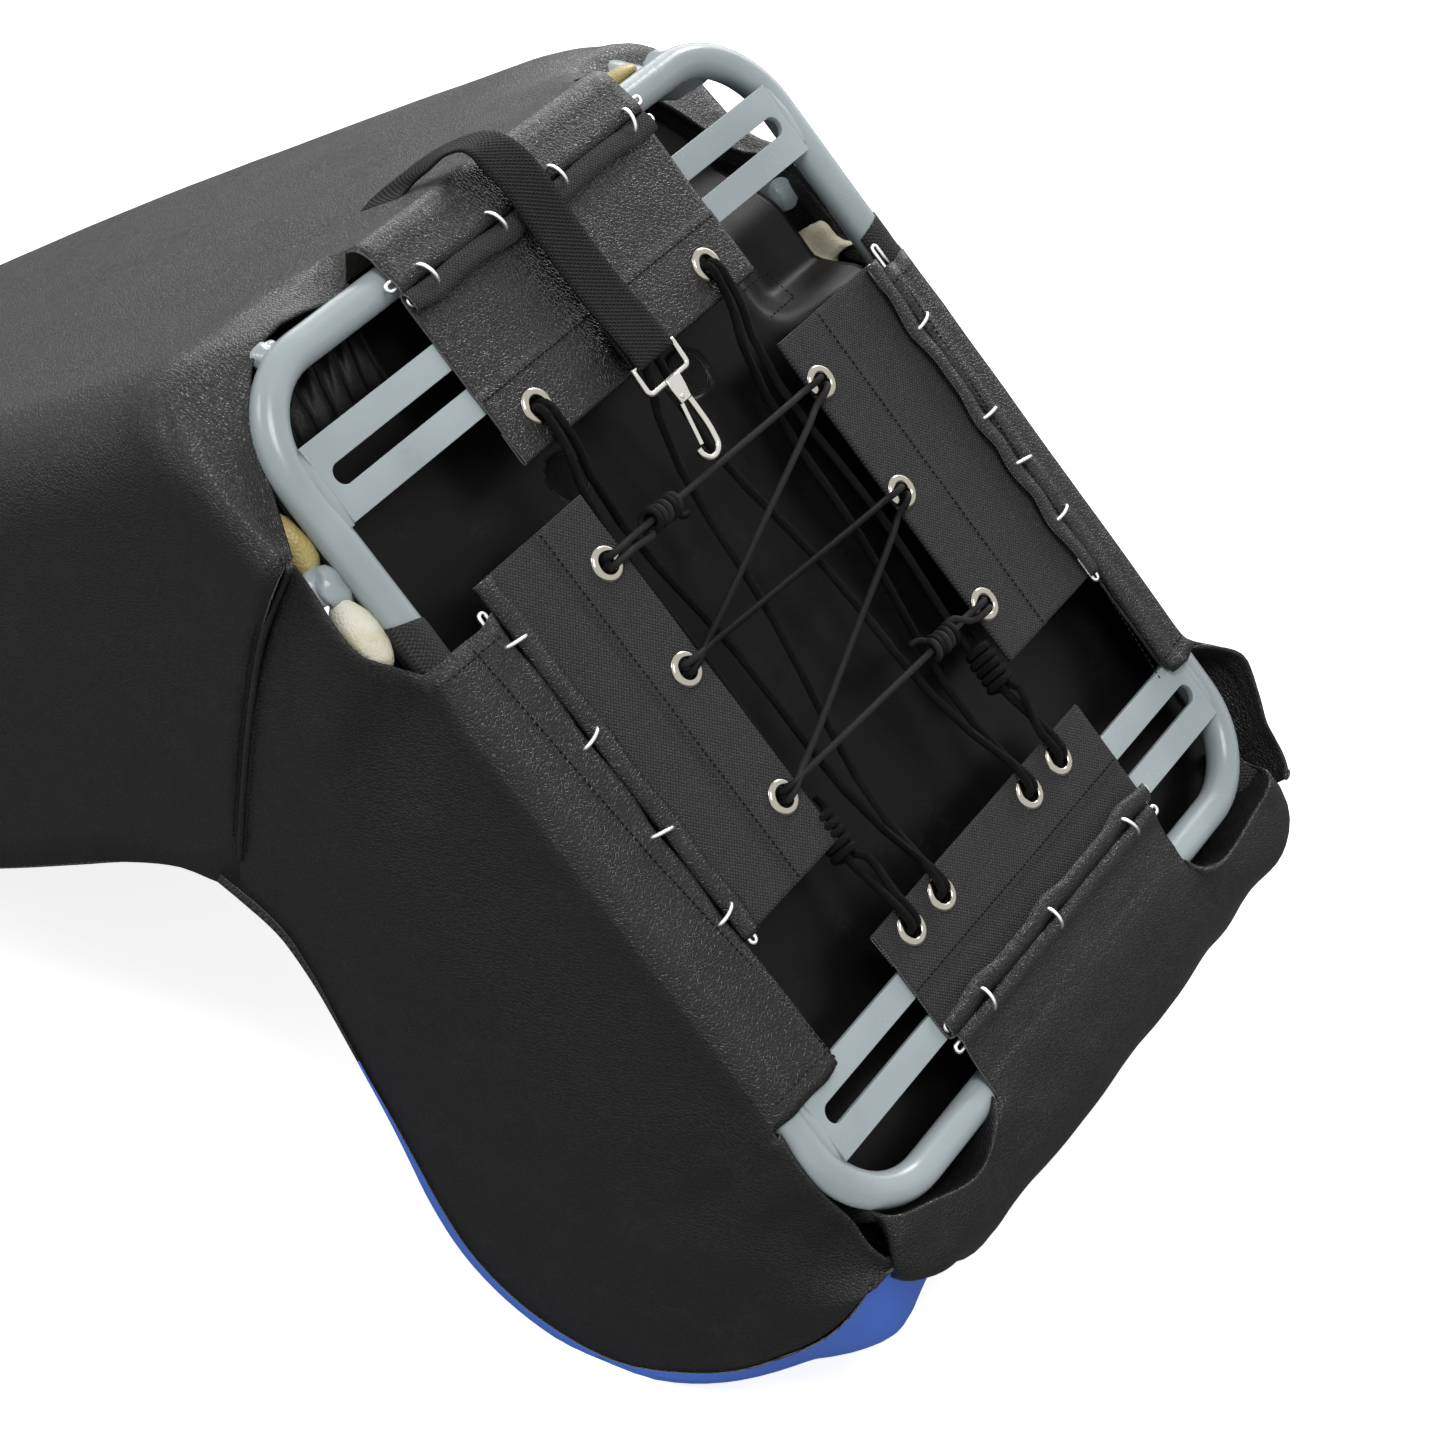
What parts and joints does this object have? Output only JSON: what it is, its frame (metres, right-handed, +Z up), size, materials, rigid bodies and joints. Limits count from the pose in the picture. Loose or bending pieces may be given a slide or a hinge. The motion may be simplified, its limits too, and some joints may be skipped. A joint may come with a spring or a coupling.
{
  "type": "upholstered bucket seat",
  "caption": "High-backed upholstered bucket seat lying face down: tube base frame with slotted cross bars, laced cover flaps underneath, and a tie-down strap with a snap hook.",
  "frame": {"origin": "on the floor, under the middle of the lying seat's bounding box", "axes": "+Z up from the floor, +X along the floor from the head of the back toward the front edge of the seat, +Y from the seat's left side to its right side"},
  "size_m": [1.0966, 0.486, 0.5521],
  "materials": {
    "frame_paint": "semi-gloss grey-blue paint",
    "black_vinyl": "soft black vinyl with a fine grain",
    "blue_vinyl": "smooth blue vinyl",
    "woven_backing": "coated woven cloth",
    "foam": "open-cell foam",
    "nickel": "nickel plate",
    "zinc_wire": "zinc-plated wire",
    "lace": "braided black cord",
    "webbing": "ribbed black webbing"
  },
  "bodies": {
    "seat": {"back_cover": "black_vinyl", "back_hoop_tube": "frame_paint", "backrest_centre_panel": "black_vinyl", "backrest_foam": "foam", "base_frame_tube": "frame_paint", "base_lining": "black_vinyl", "cross_lace": "lace", "front_cover": "black_vinyl", "front_cross_bar": "frame_paint", "front_eyelet_1": "nickel", "front_eyelet_2": "nickel", "front_eyelet_3": "nickel", "front_eyelet_4": "nickel", "front_flap": "woven_backing", "front_hem": "black_vinyl", "front_hog_rings_and_wires": "zinc_wire", "left_bolster_facing": "blue_vinyl", "left_bolster_foam": "foam", "left_eyelet_1": "nickel", "left_eyelet_2": "nickel", "left_eyelet_3": "nickel", "left_flap": "woven_backing", "left_hem": "black_vinyl", "left_hog_rings_and_wires": "zinc_wire", "left_piping": "black_vinyl", "left_seat_side_cover": "black_vinyl", "left_side_strut": "frame_paint", "left_wing_facing": "woven_backing", "left_wing_foam": "foam", "long_lace": "lace", "rear_cross_bar": "frame_paint", "rear_eyelet_1": "nickel", "rear_eyelet_2": "nickel", "rear_eyelet_3": "nickel", "rear_flap": "black_vinyl", "rear_hem": "black_vinyl", "rear_hog_rings_and_wires": "zinc_wire", "right_bolster_facing": "blue_vinyl", "right_bolster_foam": "foam", "right_eyelet_1": "nickel", "right_eyelet_2": "nickel", "right_eyelet_3": "nickel", "right_flap": "woven_backing", "right_hem": "black_vinyl", "right_hog_rings_and_wires": "zinc_wire", "right_piping": "black_vinyl", "right_seat_side_cover": "black_vinyl", "right_side_strut": "frame_paint", "right_wing_facing": "woven_backing", "right_wing_foam": "foam", "seat_centre_panel": "black_vinyl", "seat_foam": "foam", "tie_down_strap": "webbing"},
    "hook": {"snap_hook_body": "nickel", "gate_pin": "nickel"},
    "gate": {"snap_hook_gate": "nickel"}
  },
  "joints": [
    {"name": "hook_swing", "type": "hinge", "parent": "seat", "child": "hook", "pos_m": [0.2641, 0.003, 0.45609], "axis": [0, -1, 0], "range_deg": [0, 100]},
    {"name": "gate_open", "type": "hinge", "parent": "hook", "child": "gate", "pos_m": [0.28092, 0.0015, 0.4376], "axis": [0.7395, 0, 0.6731], "range_deg": [0, 14], "stiffness_Nm_per_rad": 0.03, "springref_deg": -17.19}
  ]
}
